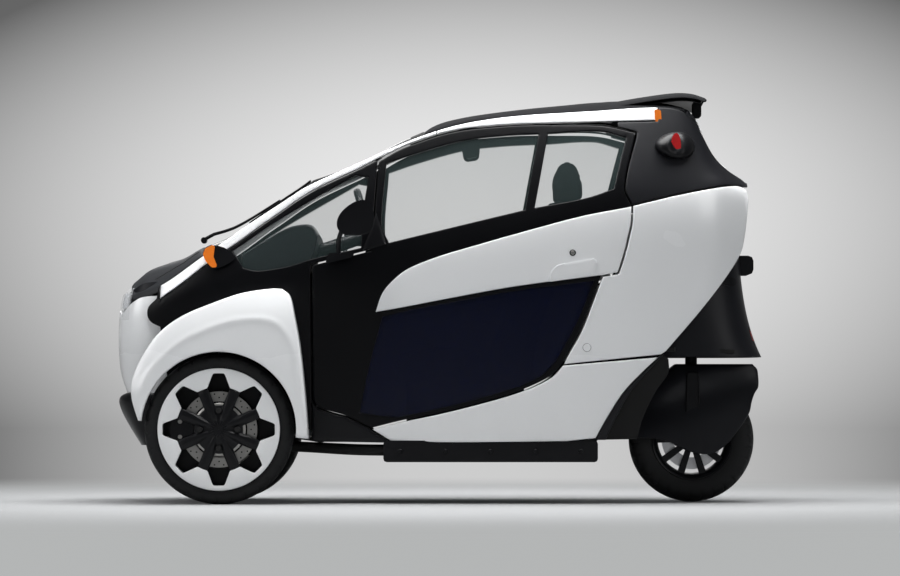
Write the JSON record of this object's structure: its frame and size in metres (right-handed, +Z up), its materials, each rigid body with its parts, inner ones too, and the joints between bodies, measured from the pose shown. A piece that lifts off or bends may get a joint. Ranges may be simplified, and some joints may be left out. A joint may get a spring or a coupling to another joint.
{
  "type": "three wheeled car",
  "caption": "Narrow enclosed tandem electric car on two front wheels and one steered rear wheel, with opening doors and a hollow cabin.",
  "frame": {"origin": "on the floor, under the middle of the car's plan box", "axes": "+X towards the tail, +Y to the car's right side, +Z up"},
  "size_m": [2.3386, 0.952, 1.4882],
  "materials": {
    "white_paint": "gloss",
    "black_paint": "gloss",
    "grey_paint": "satin",
    "dark_plastic": "satin",
    "clear_glass": "clear",
    "tinted_glass": "tinted",
    "lamp": "clear",
    "amber_lamp": "clear",
    "red_lamp": "clear",
    "tyre": "matte",
    "steel": "satin",
    "aluminium": "brushed",
    "seat": "woven"
  },
  "bodies": {
    "root": {"roof_rail_left": "white_paint", "front_side_left": "black_paint", "sill_panel_left": "white_paint", "rear_quarter_left": "white_paint", "rear_upper_left": "dark_plastic", "sill_rail_left": "dark_plastic", "front_fender_left": "white_paint", "front_suspension_left": "steel", "roof_rail_right": "white_paint", "front_side_right": "black_paint", "sill_panel_right": "white_paint", "rear_quarter_right": "white_paint", "rear_upper_right": "dark_plastic", "sill_rail_right": "dark_plastic", "front_fender_right": "white_paint", "front_suspension_right": "steel", "quarter_glass": "clear_glass", "hood": "grey_paint", "windscreen": "clear_glass", "roof_panel": "dark_plastic", "rear_window": "tinted_glass", "nose_panel": "white_paint", "headlamps": "lamp", "chin_lip": "dark_plastic", "tail_cover": "dark_plastic", "spoiler": "dark_plastic", "floor_pan": "steel", "wheel_bay": "dark_plastic", "battery_block": "steel", "front_frame": "steel", "front_seat": "seat", "seat_base": "steel", "rear_seat": "seat", "dashboard": "dark_plastic", "steering_column": "dark_plastic", "indicators": "amber_lamp", "tail_lamps": "red_lamp", "wiper": "dark_plastic"},
    "rear_steer": {"rear_fork": "steel", "rear_fender": "dark_plastic"},
    "rear_wheel": {"rear_tyre": "tyre", "rear_rim": "aluminium"},
    "hand_wheel": {"hand_wheel": "dark_plastic"},
    "door_left": {"door_frame_left": "black_paint", "door_panel_left": "white_paint", "door_glass_left": "tinted_glass", "mirror_left": "black_paint"},
    "front_wheel_left": {"front_tyre_left": "tyre", "front_rim_left": "white_paint", "front_hub_left": "dark_plastic"},
    "door_right": {"door_frame_right": "black_paint", "door_panel_right": "white_paint", "door_glass_right": "tinted_glass", "mirror_right": "black_paint"},
    "front_wheel_right": {"front_tyre_right": "tyre", "front_rim_right": "white_paint", "front_hub_right": "dark_plastic"}
  },
  "joints": [
    {"name": "door_left_hinge", "type": "hinge", "parent": "root", "child": "door_left", "pos_m": [-0.443, -0.352, 0.6], "axis": [0, 0, -1], "range_deg": [0, 65]},
    {"name": "door_right_hinge", "type": "hinge", "parent": "root", "child": "door_right", "pos_m": [-0.443, 0.352, 0.6], "axis": [0, 0, 1], "range_deg": [0, 65]},
    {"name": "front_wheel_left_spin", "type": "hinge", "parent": "root", "child": "front_wheel_left", "pos_m": [-0.7835, -0.35, 0.266], "axis": [0, 1, 0], "continuous": true},
    {"name": "front_wheel_right_spin", "type": "hinge", "parent": "root", "child": "front_wheel_right", "pos_m": [-0.7835, 0.35, 0.266], "axis": [0, 1, 0], "continuous": true},
    {"name": "rear_steer", "type": "hinge", "parent": "root", "child": "rear_steer", "pos_m": [0.9165, 0, 0.55], "axis": [0, 0, 1], "range_deg": [-34, 34]},
    {"name": "rear_wheel_spin", "type": "hinge", "parent": "rear_steer", "child": "rear_wheel", "pos_m": [0.9165, 0, 0.228], "axis": [0, 1, 0], "continuous": true},
    {"name": "hand_wheel_turn", "type": "hinge", "parent": "root", "child": "hand_wheel", "pos_m": [-0.2663, 0, 0.96901], "axis": [0.9545, 0, 0.2983], "range_deg": [-170, 170]}
  ],
  "couplings": [
    {"joint": "hand_wheel_turn", "follows": "rear_steer", "ratio": -5}
  ]
}
